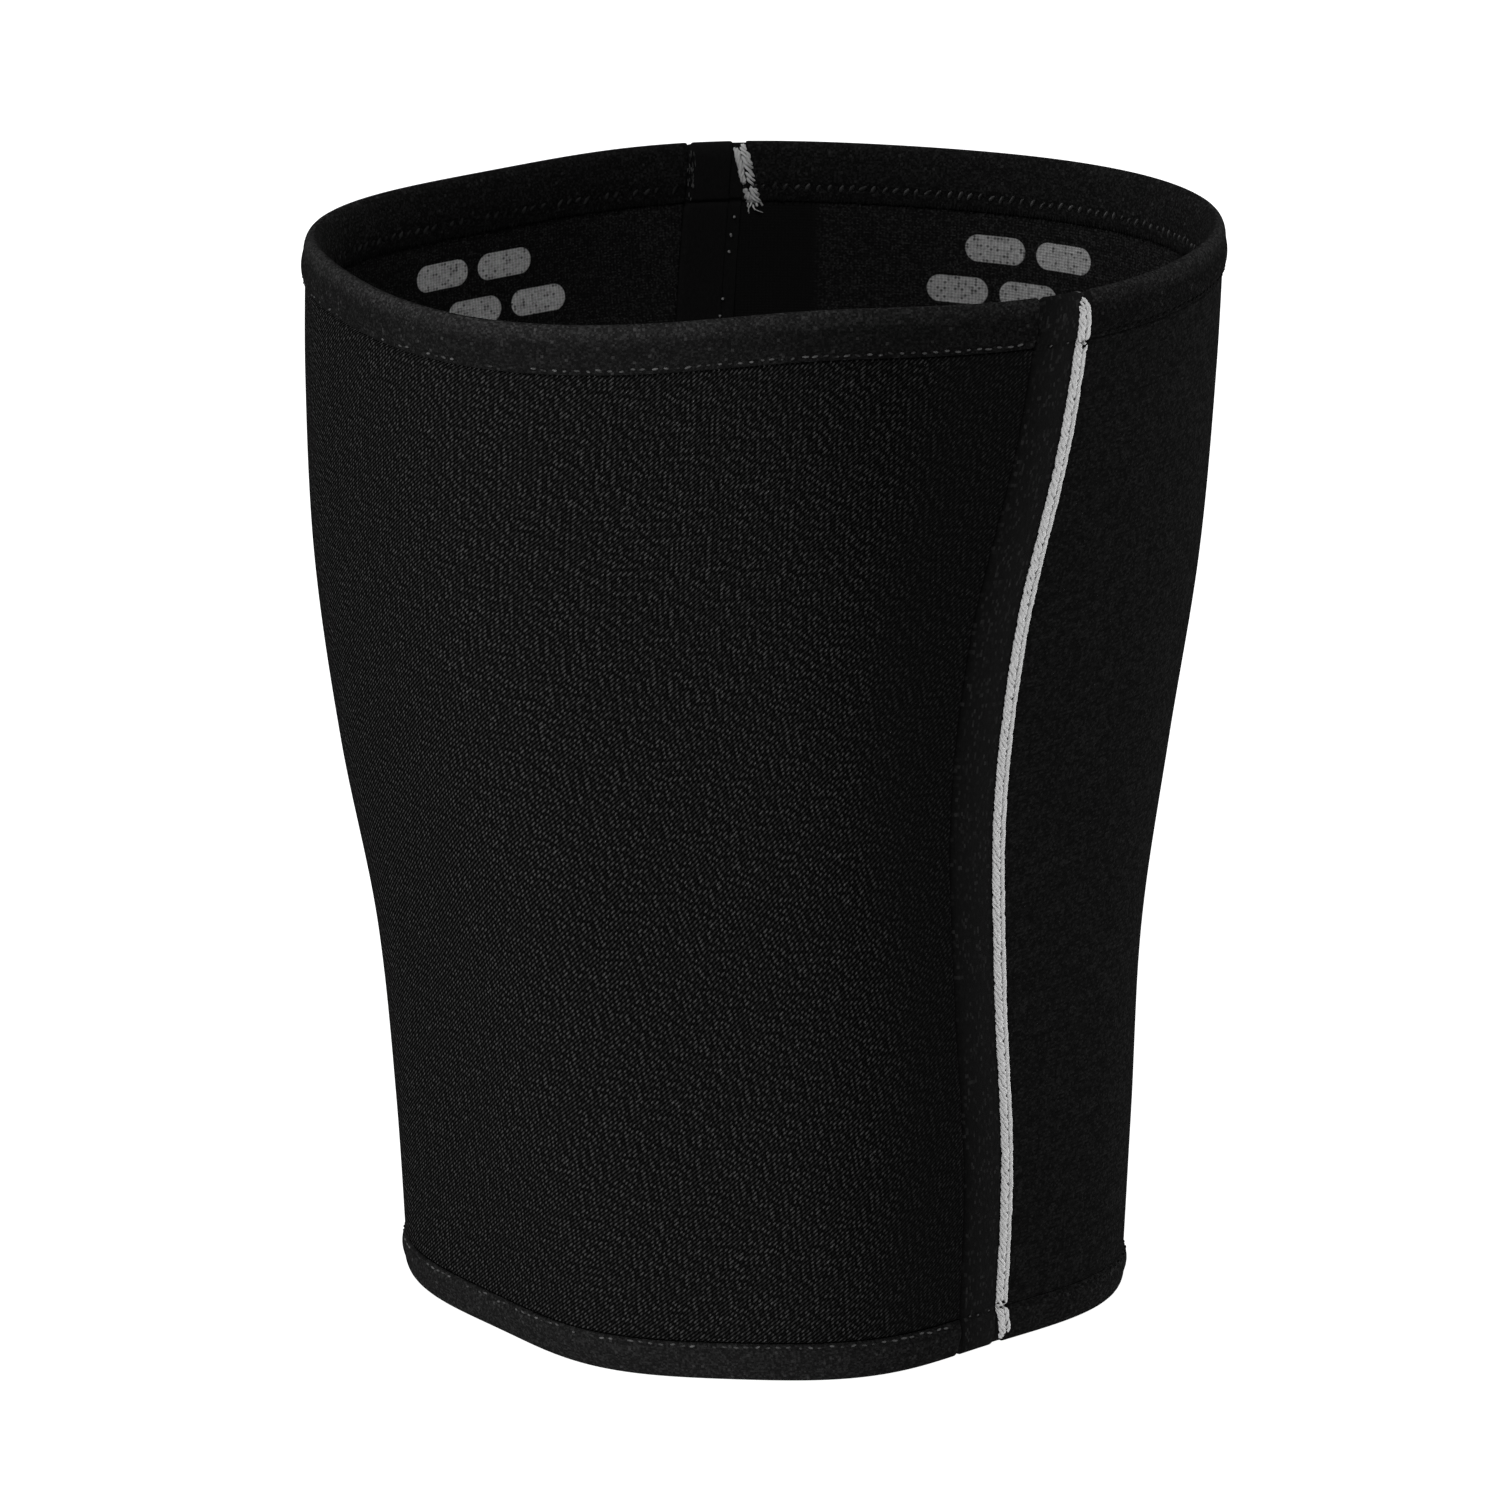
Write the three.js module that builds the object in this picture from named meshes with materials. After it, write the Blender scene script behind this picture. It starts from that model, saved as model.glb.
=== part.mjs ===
// Thigh compression sleeve: an open tube of laminated neoprene that stands on its lower rim.
// A wide main panel round the front and left and a narrower rear panel meet in two side seams.
// Each seam has a dark strip and a light piping, and folded hems bind the panels' edges.
// Millimetres, +Z up. The front faces -Y, and the origin is the centre of the lower rim.

import * as THREE from 'three';

// Driving dimensions
const HEIGHT = 230;
const WALL = 3;
const GAP = 0.3;
const STRIP_WIDTH = 9.2;
const PIPING_WIDTH = 2.7;

// The piping stands proud of the wall by its crown. The hem presses it to a share of that over a rim.
const PIPING_CROWN = 1.1;
const PIPING_PRESSED = 0.25;

// Where the wall's axis stands, so that the origin is the centre of the whole sleeve
const AXIS_X = -3;
const AXIS_Y = -0.6;

// The hem cloth is folded over the panel's pressed edge and stands a little proud of both faces. A rim
// has bevelled corners and a flat foot, which the sleeve stands on, and a ditch runs along each hem's edge.
const HEM_CLOTH = 1.1;
const HEM_PROUD = 0.4;
const CORNER_SIDE = 1.7;
const CORNER_MIDDLE = 0.45;
const RIM_FOOT = 1.2;
const DITCH = 0.5;
const TOP_HEM = { outside: 10, inside: 13 };
const BOTTOM_HEM = { outside: 8.5, inside: 11 };

// Distance from the axis to the outer face, by the clock seen from above: 12 is the back, 6 the front.
const CLOCK = ['at3', 'at2', 'at1', 'at12', 'at11', 'at10', 'at9', 'at8', 'at7', 'at6', 'at5', 'at4'];
const RIMS = {
  lower: {
    at12: 63, at1: 67, at2: 68, at3: 79, at4: 66, at5: 62.5,
    at6: 59, at7: 60.5, at8: 60.5, at9: 71.5, at10: 74.5, at11: 67,
  },
  upper: {
    at12: 82, at1: 86, at2: 97.5, at3: 97, at4: 88.5, at5: 76.5,
    at6: 74.5, at7: 92, at8: 91, at9: 91, at10: 81.5, at11: 78,
  },
};

// Between the rims the wall swells and shifts sideways. The piping lines are places on the girth, as
// a share of it, anticlockwise from 3 o'clock.
const WALL_ROWS = [
  { z: 0, swell: 1, shift: 0, near: -0.111, far: 0.272 },
  { z: 40, swell: 0.986, shift: -0.3, near: -0.1125, far: 0.272 },
  { z: 80, swell: 0.98, shift: -1.3, near: -0.1215, far: 0.271 },
  { z: 120, swell: 1.015, shift: -2.4, near: -0.1315, far: 0.27 },
  { z: 160, swell: 1.038, shift: -2, near: -0.1315, far: 0.27 },
  { z: 200, swell: 1.024, shift: -1, near: -0.1185, far: 0.269 },
  { z: HEIGHT, swell: 1, shift: 0, near: -0.112, far: 0.267 },
];

// How finely the curved walls are divided
const RING_POINTS = 360;
const MAIN_STEPS = 27;
const REAR_STEPS = 19;
const STRIP_STEPS = 2;
const PIPING_STEPS = 6;
const FACE_ROWS = 11;

const WALL_COLUMNS = ['swell', 'shift', 'near', 'far'];
const wallCurve = new THREE.CubicInterpolant(
  WALL_ROWS.map((row) => row.z),
  WALL_ROWS.flatMap((row) => WALL_COLUMNS.map((column) => row[column])),
  WALL_COLUMNS.length,
  new Float64Array(WALL_COLUMNS.length),
);

// The wall's swell, sideways shift and piping lines at a height
function wallAt(z) {
  const [swell, shift, near, far] = wallCurve.evaluate(z);
  return { swell, shift, near, far };
}

// Weight of one clock reading at an angle away from it, so that a smooth curve runs through all twelve
function clockWeight(angle) {
  const half = angle / 2;
  if (Math.abs(Math.sin(half)) < 1e-9) return 1;
  return Math.sin(CLOCK.length * half) / (CLOCK.length * Math.tan(half));
}

const clockStep = (2 * Math.PI) / CLOCK.length;
const ringAngles = Array.from({ length: RING_POINTS }, (_, i) => (2 * Math.PI * i) / RING_POINTS);
const ringWeights = ringAngles.map((angle) =>
  CLOCK.map((_, hour) => clockWeight(angle - hour * clockStep)));
const rings = new Map();

// The outer face's outline at a height, with the way along it to each of its points
function ringAt(z) {
  if (rings.has(z)) return rings.get(z);
  const { swell, shift } = wallAt(z);
  const share = z / HEIGHT;
  const { lower, upper } = RIMS;
  const readings = CLOCK.map((hour) => swell * THREE.MathUtils.lerp(lower[hour], upper[hour], share));
  const points = ringAngles.map((angle, i) => {
    const radius = ringWeights[i].reduce((sum, weight, hour) => sum + weight * readings[hour], 0);
    return new THREE.Vector2(radius * Math.cos(angle) + shift + AXIS_X, radius * Math.sin(angle) + AXIS_Y);
  });
  const way = [0];
  points.forEach((point, i) => way.push(way[i] + point.distanceTo(points[(i + 1) % RING_POINTS])));
  const ring = { points, way, girth: way[RING_POINTS] };
  rings.set(z, ring);
  return ring;
}

// A point of the wall: at a height, at a share of the girth, and at a depth out from the outer face
function wallPoint(z, share, out) {
  const { points, way, girth } = ringAt(z);
  const along = (share - Math.floor(share)) * girth;
  const next = Math.min(way.findIndex((length) => length > along), RING_POINTS);
  const last = next - 1;
  const part = (along - way[last]) / (way[next] - way[last]);
  const point = points[last].clone().lerp(points[next % RING_POINTS], part);
  const before = points[(last + RING_POINTS - 1) % RING_POINTS];
  const after = points[(next + 1) % RING_POINTS];
  const heading = after.clone().sub(before).normalize();
  return new THREE.Vector3(point.x + out * heading.y, point.y - out * heading.x, z);
}

// A line that runs up the wall beside a seam's piping, a distance along the girth from it
function besideSeam(seam, distance, turns = 0) {
  return (z) => wallAt(z)[seam] + turns + distance / ringAt(z).girth;
}

// A closed solid carried along the girth from one line to another. Its profile is two rows of as many
// [height, depth] points, the skin outside and the back behind it.
function wallPiece(profileAt, from, to, steps) {
  const positions = [];
  const indices = [];
  const rungs = profileAt(0).skin.length;
  const size = 2 * rungs;
  for (let step = 0; step <= steps; step += 1) {
    const { skin, back } = profileAt(step / steps);
    [...skin, ...back.toReversed()].forEach(([z, out]) => {
      const share = THREE.MathUtils.lerp(from(z), to(z), step / steps);
      positions.push(...wallPoint(z, share, out).toArray());
    });
  }
  for (let step = 0; step < steps; step += 1) {
    for (let i = 0; i < size; i += 1) {
      const a = step * size + i;
      const b = step * size + ((i + 1) % size);
      indices.push(a, a + size, b, b, a + size, b + size);
    }
  }
  const end = steps * size;
  for (let i = 0; i < rungs - 1; i += 1) {
    const [a, b, c, d] = [i, i + 1, size - 2 - i, size - 1 - i];
    indices.push(a, b, c, a, c, d);
    indices.push(end + a, end + c, end + b, end + a, end + d, end + c);
  }
  const geometry = new THREE.BufferGeometry();
  geometry.setAttribute('position', new THREE.Float32BufferAttribute(positions, 3));
  geometry.setIndex(indices);
  geometry.computeVertexNormals();
  return geometry;
}

// Heights where the open faces are divided, between the hems' edges
function faceRows(low, high) {
  return Array.from({ length: FACE_ROWS }, (_, i) => THREE.MathUtils.lerp(low, high, i / (FACE_ROWS - 1)));
}

const innerFace = -WALL;
const hemOuter = HEM_PROUD;
const hemInner = innerFace - HEM_PROUD;
const legOuter = hemOuter - HEM_CLOTH;
const legInner = hemInner + HEM_CLOTH;
const footOuter = (innerFace + RIM_FOOT) / 2;
const footInner = (innerFace - RIM_FOOT) / 2;
const ditchFar = GAP + 2 * DITCH;

// A panel: the full wall between the hems, with its edges pressed thin to go into them
function panelProfile() {
  const side = (low, high, face, pressed, ditch) => [
    [HEM_CLOTH + GAP, pressed],
    [low + GAP, pressed],
    [low + GAP, ditch],
    ...faceRows(low + ditchFar, high - ditchFar).map((z) => [z, face]),
    [high - GAP, ditch],
    [high - GAP, pressed],
    [HEIGHT - HEM_CLOTH - GAP, pressed],
  ];
  return {
    skin: side(BOTTOM_HEM.outside, HEIGHT - TOP_HEM.outside, 0, legOuter - GAP, -DITCH),
    back: side(BOTTOM_HEM.inside, HEIGHT - TOP_HEM.inside, innerFace, legInner + GAP, innerFace + DITCH),
  };
}

// A hem: a folded channel over a rim, from its edge outside to its edge inside. Its heights are ways
// from the rim along the wall.
function hemProfile(hem) {
  return {
    skin: [
      [hem.outside, 0],
      [hem.outside - HEM_PROUD, hemOuter],
      [CORNER_SIDE, hemOuter],
      [CORNER_MIDDLE, hemOuter - 2 * CORNER_MIDDLE],
      [0, footOuter],
      [0, footInner],
      [CORNER_MIDDLE, hemInner + 2 * CORNER_MIDDLE],
      [CORNER_SIDE, hemInner],
      [hem.inside - HEM_PROUD, hemInner],
      [hem.inside, innerFace],
    ],
    back: [
      [hem.outside, legOuter],
      [hem.outside - HEM_PROUD, legOuter],
      [2 * CORNER_SIDE, legOuter],
      [CORNER_SIDE, legOuter],
      [HEM_CLOTH, legOuter],
      [HEM_CLOTH, legInner],
      [CORNER_SIDE, legInner],
      [2 * CORNER_SIDE, legInner],
      [hem.inside - HEM_PROUD, legInner],
      [hem.inside, legInner],
    ],
  };
}

const downFromTop = ([way, out]) => [HEIGHT - way, out];

// Half of a strip's end, from its rim to its open face, level with the hem beside it. The faces are
// given outwards, so the inner side is the same turned over.
function stripEnd(reach, face, foot, proud, rimProud) {
  return [
    [-rimProud, foot],
    [CORNER_MIDDLE - rimProud, face + proud + HEM_PROUD - 2 * CORNER_MIDDLE],
    [CORNER_SIDE, face + proud + HEM_PROUD],
    [reach - HEM_PROUD, face + proud + HEM_PROUD],
    [reach + GAP, face + proud - DITCH],
  ];
}

// A strip or a piping: the wall's whole thickness from rim to rim, raised by proud outside and in the hems
function stripProfile(proud) {
  const side = (bottom, top, face, foot, openProud) => [
    ...stripEnd(bottom, face, foot, proud, 0),
    ...faceRows(bottom + ditchFar, HEIGHT - top - ditchFar).map((z) => [z, face + openProud]),
    ...stripEnd(top, face, foot, proud, proud * PIPING_PRESSED).map(downFromTop).reverse(),
  ];
  const turnedOver = side(BOTTOM_HEM.inside, TOP_HEM.inside, WALL, -footInner, 0);
  return {
    skin: side(BOTTOM_HEM.outside, TOP_HEM.outside, 0, footOuter, proud),
    back: turnedOver.map(([z, inward]) => [z, -inward]),
  };
}

// The piping is a cord set in the seam, round across its width
function pipingProfile(across) {
  const sideways = 2 * across - 1;
  return stripProfile(PIPING_CROWN * Math.sqrt(1 - sideways * sideways));
}

// Lines between the pieces, in order round the girth
const pipingEdge = PIPING_WIDTH / 2;
const seamEdge = pipingEdge + GAP;
const stripEdge = seamEdge + STRIP_WIDTH;
const mainEdge = stripEdge + GAP;
const rearSpan = [besideSeam('near', seamEdge), besideSeam('far', -seamEdge), REAR_STEPS];
const mainSpan = [besideSeam('far', mainEdge), besideSeam('near', -mainEdge, 1), MAIN_STEPS];
const nearStripSpan = [besideSeam('near', -stripEdge, 1), besideSeam('near', -seamEdge, 1), STRIP_STEPS];
const farStripSpan = [besideSeam('far', seamEdge), besideSeam('far', stripEdge), STRIP_STEPS];
const nearPipingSpan = [besideSeam('near', -pipingEdge), besideSeam('near', pipingEdge), PIPING_STEPS];
const farPipingSpan = [besideSeam('far', -pipingEdge), besideSeam('far', pipingEdge), PIPING_STEPS];

const topHemProfile = () => {
  const { skin, back } = hemProfile(TOP_HEM);
  return { skin: skin.map(downFromTop), back: back.map(downFromTop) };
};
const bottomHemProfile = () => {
  const { skin, back } = hemProfile(BOTTOM_HEM);
  return { skin: skin.reverse(), back: back.reverse() };
};
const flushStripProfile = () => stripProfile(0);

const blackKnit = new THREE.MeshStandardMaterial({ color: 0x1b1b1d, roughness: 0.85, metalness: 0 });
const blackHemCloth = new THREE.MeshStandardMaterial({ color: 0x202022, roughness: 0.8, metalness: 0 });
const darkStripCloth = new THREE.MeshStandardMaterial({ color: 0x1f1f21, roughness: 0.9, metalness: 0 });
const greyPipingCord = new THREE.MeshStandardMaterial({ color: 0xc9cacb, roughness: 0.75, metalness: 0 });

const sleeve = new THREE.Group();

function addPiece(name, profileAt, span, material) {
  const mesh = new THREE.Mesh(wallPiece(profileAt, ...span), material);
  mesh.name = name;
  sleeve.add(mesh);
}

addPiece('main_panel', panelProfile, mainSpan, blackKnit);
addPiece('rear_panel', panelProfile, rearSpan, blackKnit);
addPiece('main_top_hem', topHemProfile, mainSpan, blackHemCloth);
addPiece('main_bottom_hem', bottomHemProfile, mainSpan, blackHemCloth);
addPiece('rear_top_hem', topHemProfile, rearSpan, blackHemCloth);
addPiece('rear_bottom_hem', bottomHemProfile, rearSpan, blackHemCloth);
addPiece('near_seam_strip', flushStripProfile, nearStripSpan, darkStripCloth);
addPiece('far_seam_strip', flushStripProfile, farStripSpan, darkStripCloth);
addPiece('near_piping', pipingProfile, nearPipingSpan, greyPipingCord);
addPiece('far_piping', pipingProfile, farPipingSpan, greyPipingCord);

export default sleeve;
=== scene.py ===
# The looks of a thigh compression sleeve: an open neoprene tube that stands on its lower rim.
# +Z is up and the front faces -Y. Sizes are millimetres, turned to metres where a mesh is placed.

import math

import bpy
import numpy as np
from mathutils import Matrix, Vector


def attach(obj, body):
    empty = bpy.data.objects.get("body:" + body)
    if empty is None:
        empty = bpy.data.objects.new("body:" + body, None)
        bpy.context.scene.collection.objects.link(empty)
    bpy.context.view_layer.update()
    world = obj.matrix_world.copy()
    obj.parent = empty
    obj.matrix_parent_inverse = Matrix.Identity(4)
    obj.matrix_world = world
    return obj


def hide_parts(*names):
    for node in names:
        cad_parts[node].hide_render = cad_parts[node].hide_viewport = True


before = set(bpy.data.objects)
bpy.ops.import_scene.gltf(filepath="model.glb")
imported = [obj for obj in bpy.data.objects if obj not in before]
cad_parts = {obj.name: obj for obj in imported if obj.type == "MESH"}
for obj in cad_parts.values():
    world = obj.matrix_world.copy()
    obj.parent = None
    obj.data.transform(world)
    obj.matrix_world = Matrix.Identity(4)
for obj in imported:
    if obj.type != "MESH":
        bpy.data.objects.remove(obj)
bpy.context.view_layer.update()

# Main panel: the wide panel round the front and the left. It is 3 mm neoprene with a ribbed black knit
# bonded outside and a thin black lining inside. Its side edges turn down into the seams, and its upper
# and lower edges go into the hems.

METRE = 1000
HEIGHT = 230
WALL = 3
AXIS_X = -3
AXIS_Y = -0.6

# Distance from the axis to the outer face, by the clock seen from above: 12 is the back, 6 the front
CLOCK = (3, 2, 1, 12, 11, 10, 9, 8, 7, 6, 5, 4)
LOWER_RIM = {
    12: 63, 1: 67, 2: 68, 3: 79, 4: 66, 5: 62.5, 6: 59, 7: 60.5, 8: 60.5, 9: 71.5, 10: 74.5, 11: 67,
}
UPPER_RIM = {
    12: 82, 1: 86, 2: 97.5, 3: 97, 4: 88.5, 5: 76.5, 6: 74.5, 7: 92, 8: 91, 9: 91, 10: 81.5, 11: 78,
}

# Between the rims the wall swells and shifts sideways. The two piping lines are places on the girth, as
# a share of it, anticlockwise from 3 o'clock.
WALL_ROWS = (
    {"z": 0, "swell": 1, "shift": 0, "near": -0.1117, "far": 0.272},
    {"z": 40, "swell": 0.986, "shift": -0.3, "near": -0.1133, "far": 0.272},
    {"z": 80, "swell": 0.98, "shift": -1.3, "near": -0.1225, "far": 0.271},
    {"z": 120, "swell": 1.015, "shift": -2.4, "near": -0.1326, "far": 0.27},
    {"z": 160, "swell": 1.038, "shift": -2, "near": -0.1326, "far": 0.27},
    {"z": 200, "swell": 1.024, "shift": -1, "near": -0.1191, "far": 0.269},
    {"z": HEIGHT, "swell": 1, "shift": 0, "near": -0.1123, "far": 0.267},
)
FORM_STEPS = 1200


def wall_row(column, z):
    """A column of WALL_ROWS at the heights z, on a smooth curve through the rows."""
    heights = np.array([row["z"] for row in WALL_ROWS], float)
    values = np.array([row[column] for row in WALL_ROWS], float)
    rises = np.diff(values) / np.diff(heights)
    slopes = np.concatenate([rises[:1], (rises[:-1] + rises[1:]) / 2, rises[-1:]])
    low = np.clip(np.searchsorted(heights, z, side="right") - 1, 0, len(rises) - 1)
    step = heights[low + 1] - heights[low]
    part = (z - heights[low]) / step
    rest = 1 - part
    ends = rest**2 * (1 + 2 * part) * values[low] + part**2 * (1 + 2 * rest) * values[low + 1]
    return ends + step * part * rest * (rest * slopes[low] - part * slopes[low + 1])


def form_ring(z):
    """The outer face at a height: points and outward directions, evenly spaced, and the girth."""
    angle = np.linspace(0, 2 * math.pi, FORM_STEPS + 1)
    half = (angle[:, None] - np.arange(len(CLOCK)) * 2 * math.pi / len(CLOCK)) / 2
    at_hour = np.abs(np.sin(half)) < 1e-9
    slope = np.tan(np.where(at_hour, 1, half))
    weights = np.where(at_hour, 1, np.sin(len(CLOCK) * half) / (len(CLOCK) * slope))
    rise = z / HEIGHT
    readings = np.array([LOWER_RIM[hour] * (1 - rise) + UPPER_RIM[hour] * rise for hour in CLOCK])
    radius = wall_row("swell", z) * (weights @ readings)
    x = radius * np.cos(angle) + wall_row("shift", z) + AXIS_X
    y = radius * np.sin(angle) + AXIS_Y
    way = np.concatenate([[0], np.cumsum(np.hypot(np.diff(x), np.diff(y)))])
    even = np.linspace(0, way[-1], FORM_STEPS + 1)
    x = np.interp(even, way, x)
    y = np.interp(even, way, y)
    run_x = np.gradient(np.concatenate([x[-2:-1], x, x[1:2]]))[1:-1]
    run_y = np.gradient(np.concatenate([y[-2:-1], y, y[1:2]]))[1:-1]
    run = np.hypot(run_x, run_y)
    return np.stack([x, y, run_y / run, -run_x / run], axis=1), way[-1]


form_rings = [form_ring(z) for z in range(HEIGHT + 1)]
form = np.array([ring for ring, _ in form_rings])
girths = np.array([girth for _, girth in form_rings])


def girth_at(z):
    return np.interp(z, np.arange(HEIGHT + 1), girths)


def on_wall(z, share, out):
    """Points in metres at heights z, shares of the girth and distances out from the outer face."""
    row = np.clip(z, 0, HEIGHT)
    low = np.minimum(row.astype(int), HEIGHT - 1)
    column = (share % 1) * FORM_STEPS
    left = np.minimum(column.astype(int), FORM_STEPS - 1)
    up = (row - low)[:, None]
    across = (column - left)[:, None]
    below = form[low, left] * (1 - across) + form[low, left + 1] * across
    above = form[low + 1, left] * (1 - across) + form[low + 1, left + 1] * across
    spot = below * (1 - up) + above * up
    return np.stack([spot[:, 0] + out * spot[:, 2], spot[:, 1] + out * spot[:, 3], z], axis=1) / METRE


def seam_line(seam, way, turns=0):
    """A line up the wall, a way along the girth from a seam's piping, as a share of the girth."""
    return lambda z: wall_row(seam, np.clip(z, 0, HEIGHT)) + turns + way / girth_at(z)


def rolled_edges(steps, roll, turns=5):
    """Places across a cloth whose edges turn down on a radius: share of the width, way on, depth."""
    bend = np.linspace(0, math.pi / 2, turns + 1)
    way = roll * (1 - np.cos(bend))
    sink = roll * (1 - np.sin(bend))
    middle = np.linspace(0, 1, steps + 1)[1:-1]
    share = np.concatenate([np.zeros_like(way), middle, np.ones_like(way)])
    offset = np.concatenate([way, roll * (1 - 2 * middle), -way[::-1]])
    depth = np.concatenate([sink, np.zeros_like(middle), sink[::-1]])
    return share, offset, depth


CUT_MAP = "cut"
CREASE = math.radians(50)


def lay_cloth(name, columns, rows, place):
    """A flat grid wrapped on the form. place gives points and flat cut for columns and rows."""
    bpy.ops.object.select_all(action="DESELECT")
    bpy.ops.mesh.primitive_grid_add(x_subdivisions=columns - 1, y_subdivisions=rows - 1, size=1)
    cloth = bpy.context.object
    cloth.name = name
    mesh = cloth.data
    mesh.name = name
    flat = np.empty(len(mesh.vertices) * 3, np.float32)
    mesh.vertices.foreach_get("co", flat)
    flat = flat.reshape(-1, 3)
    column = np.rint((flat[:, 0] + 0.5) * (columns - 1)).astype(int)
    row = np.rint((flat[:, 1] + 0.5) * (rows - 1)).astype(int)
    points, cut = place(column, row)
    mesh.vertices.foreach_set("co", points.astype(np.float32).ravel())
    corners = np.empty(len(mesh.loops), np.int32)
    mesh.loops.foreach_get("vertex_index", corners)
    mesh.uv_layers[0].name = CUT_MAP
    mesh.uv_layers[0].uv.foreach_set("vector", cut[corners].astype(np.float32).ravel())
    mesh.update()
    return cloth


def close_wall(face, back):
    """Joins a face and its back into one closed wall, by bridging their edges."""
    bpy.ops.object.select_all(action="DESELECT")
    back.select_set(True)
    face.select_set(True)
    bpy.context.view_layer.objects.active = face
    bpy.ops.object.join()
    bpy.ops.object.mode_set(mode="EDIT")
    bpy.ops.mesh.select_mode(type="EDGE")
    bpy.ops.mesh.select_all(action="DESELECT")
    bpy.ops.mesh.select_non_manifold(
        use_wire=False, use_multi_face=False, use_non_contiguous=False, use_verts=False
    )
    bpy.ops.mesh.bridge_edge_loops()
    bpy.ops.mesh.select_all(action="SELECT")
    bpy.ops.mesh.normals_make_consistent(inside=False)
    bpy.ops.object.mode_set(mode="OBJECT")
    bpy.ops.object.shade_smooth_by_angle(angle=CREASE)
    return face


class Shade:
    """A number that changes over a surface. Python's operators on it add the Math nodes."""

    def __init__(self, finish, socket):
        self.finish = finish
        self.socket = socket

    def maths(self, operation, *others):
        values = dict(enumerate((self, *others)))
        return self.finish.node("ShaderNodeMath", {"operation": operation}, values).read()

    def __add__(self, other):
        return self.maths("ADD", other)

    def __sub__(self, other):
        return self.maths("SUBTRACT", other)

    def __rsub__(self, other):
        return (self * -1).maths("ADD", other)

    def __mul__(self, other):
        return self.maths("MULTIPLY", other)

    def __truediv__(self, other):
        return self.maths("DIVIDE", other)

    def __pow__(self, other):
        return self.maths("POWER", other)

    __radd__ = __add__
    __rmul__ = __mul__

    def wave(self):
        """A cosine between 0 and 1, with one crest for each whole number."""
        return (self * (2 * math.pi)).maths("COSINE") * 0.5 + 0.5

    def whole(self):
        return self.maths("FLOOR")

    def fraction(self):
        return self.maths("FRACT")

    def size(self):
        return self.maths("ABSOLUTE")

    def most(self, other):
        return self.maths("MAXIMUM", other)

    def ramp(self, low, high):
        """0 below low, 1 above high, and smooth between."""
        settings = {"interpolation_type": "SMOOTHSTEP"}
        values = {"Value": self, "From Min": low, "From Max": high}
        return self.finish.node("ShaderNodeMapRange", settings, values).read()


class Node:
    """A node that was added to a finish."""

    def __init__(self, finish, node):
        self.finish = finish
        self.made = node

    def read(self, output=0):
        return Shade(self.finish, self.made.outputs[output])


class Finish:
    """A material of one Principled shader, and the nodes that feed it."""

    def __init__(self, name, **constants):
        self.material = bpy.data.materials.new(name)
        self.material.use_nodes = True
        self.tree = self.material.node_tree
        self.shader = self.tree.nodes["Principled BSDF"]
        for socket, value in constants.items():
            self.shader.inputs[socket.replace("_", " ")].default_value = value

    def node(self, kind, settings, sockets):
        """Adds a node: its settings are set first, then its sockets get their values or links."""
        made = self.tree.nodes.new(kind)
        for name, value in settings.items():
            setattr(made, name, value)
        for key, value in sockets.items():
            self.feed(made.inputs[key], value)
        return Node(self, made)

    def feed(self, socket, value):
        if isinstance(value, Shade):
            self.tree.links.new(value.socket, socket)
        else:
            socket.default_value = value

    def cut(self):
        """The way across and up the flat cut, in millimetres."""
        flat = self.node("ShaderNodeUVMap", {"uv_map": CUT_MAP}, {}).read()
        apart = self.node("ShaderNodeSeparateXYZ", {}, {"Vector": flat})
        return apart.read("X") * METRE, apart.read("Y") * METRE

    def joined(self, across, up, deep=0):
        return self.node("ShaderNodeCombineXYZ", {}, {"X": across, "Y": up, "Z": deep}).read()

    def noise(self, place, scale, detail=2, roughness=0.5):
        sockets = {"Vector": place, "Scale": scale, "Detail": detail, "Roughness": roughness}
        return self.node("ShaderNodeTexNoise", {}, sockets).read("Fac")

    def chance(self, across, up):
        """A chance number for each whole step across and up."""
        settings = {"noise_dimensions": "2D"}
        spot = self.joined(across.whole(), up.whole())
        return self.node("ShaderNodeTexWhiteNoise", settings, {"Vector": spot}).read("Value")

    def blend(self, share, dark, light):
        """A colour between dark and light."""
        sockets = {"Factor": share, 6: dark, 7: light}
        return self.node("ShaderNodeMix", {"data_type": "RGBA"}, sockets).read(2)

    def dress(self, colour, height, depth, roughness):
        """Feeds the shader: colour, roughness and a bump of that depth in millimetres."""
        self.feed(self.shader.inputs["Base Color"], colour)
        self.feed(self.shader.inputs["Roughness"], roughness)
        sockets = {"Strength": 1, "Distance": depth / METRE, "Height": height}
        bump = self.node("ShaderNodeBump", {}, sockets).read()
        self.feed(self.shader.inputs["Normal"], bump)
        return self.material


def grey(level):
    return (level, level, level, 1)


WALE = 1.05
COURSE = 0.84
GLINT_SHARE = 0.985
# Where the knit leaves the key light, across its cut in millimetres: there its painted shade and glints
# fade.
KEY_SHADE_FROM = 92
KEY_SHADE_TO = 107
KEY_SHADE_LEAN = 0.174


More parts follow.
